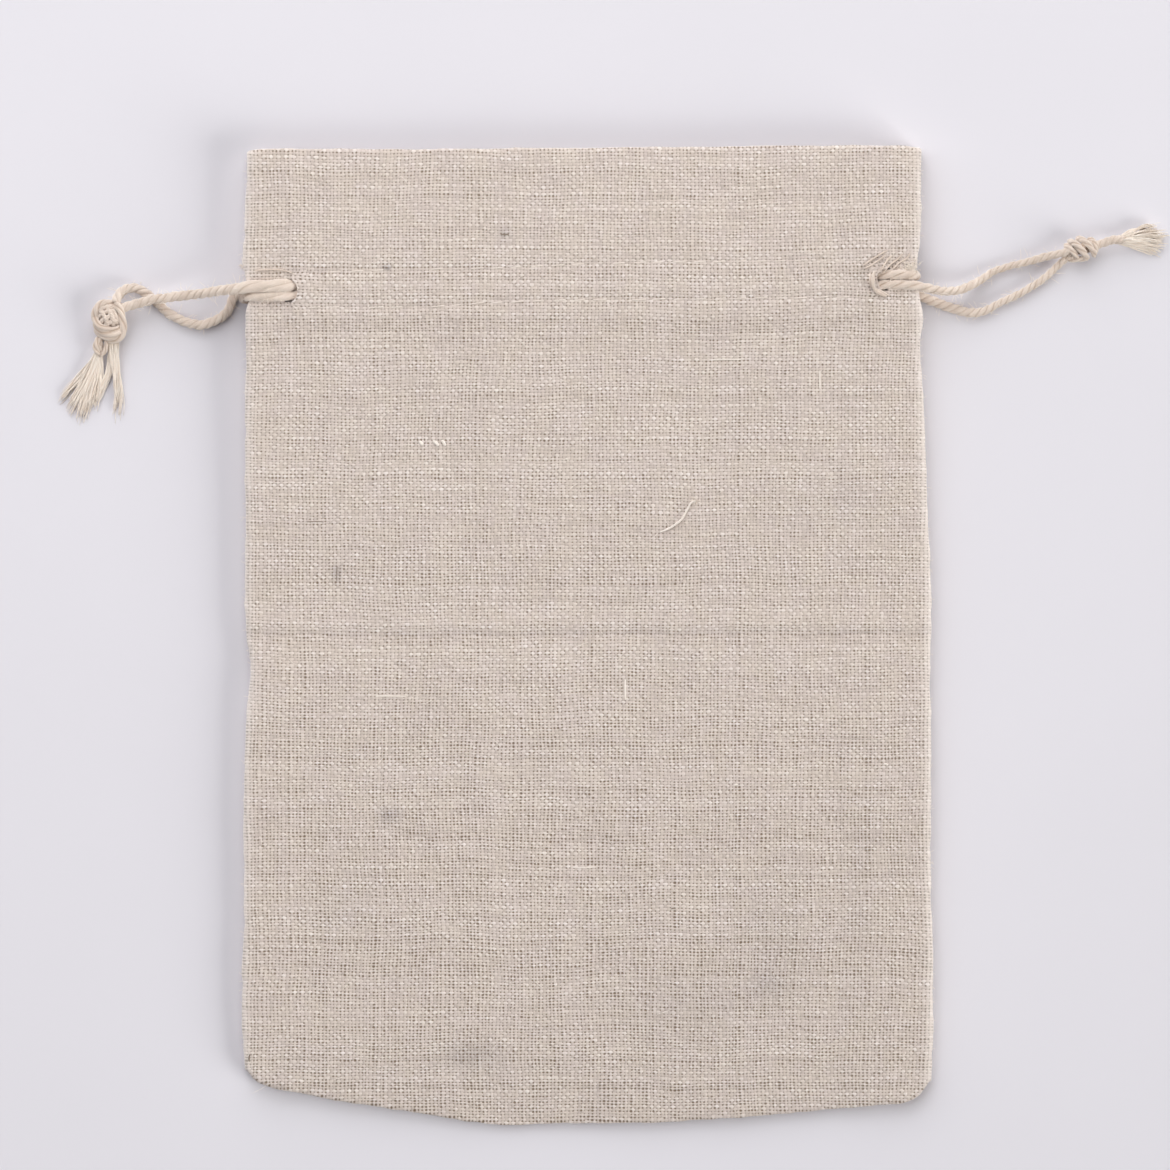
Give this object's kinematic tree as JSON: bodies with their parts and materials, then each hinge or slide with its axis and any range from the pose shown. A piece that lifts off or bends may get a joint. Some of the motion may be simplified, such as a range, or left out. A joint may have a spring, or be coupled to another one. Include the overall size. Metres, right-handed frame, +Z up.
{
  "type": "drawstring pouch",
  "caption": "Flat linen drawstring pouch lying face up, with a stitched channel, two cotton cords, overhand knots and frayed cord ends.",
  "frame": {"origin": "on the resting surface, under the middle of the cloth's outline", "axes": "+Y along the pouch's length towards its mouth, +X across it to the right, +Z up out of its face"},
  "size_m": [0.1629, 0.1432, 0.0087],
  "materials": {
    "linen": "undyed plain-woven linen and cotton, matt",
    "cotton_cord": "unbleached twisted cotton, matt and slightly fluffy"
  },
  "bodies": {
    "root": {"front_panel": "linen", "back_panel": "linen", "drawstring_left": "cotton_cord", "drawstring_right": "cotton_cord", "knot_left": "cotton_cord", "knot_right": "cotton_cord", "tail_left_fan": "cotton_cord", "tail_left_straight": "cotton_cord", "tail_right": "cotton_cord"}
  },
  "joints": []
}
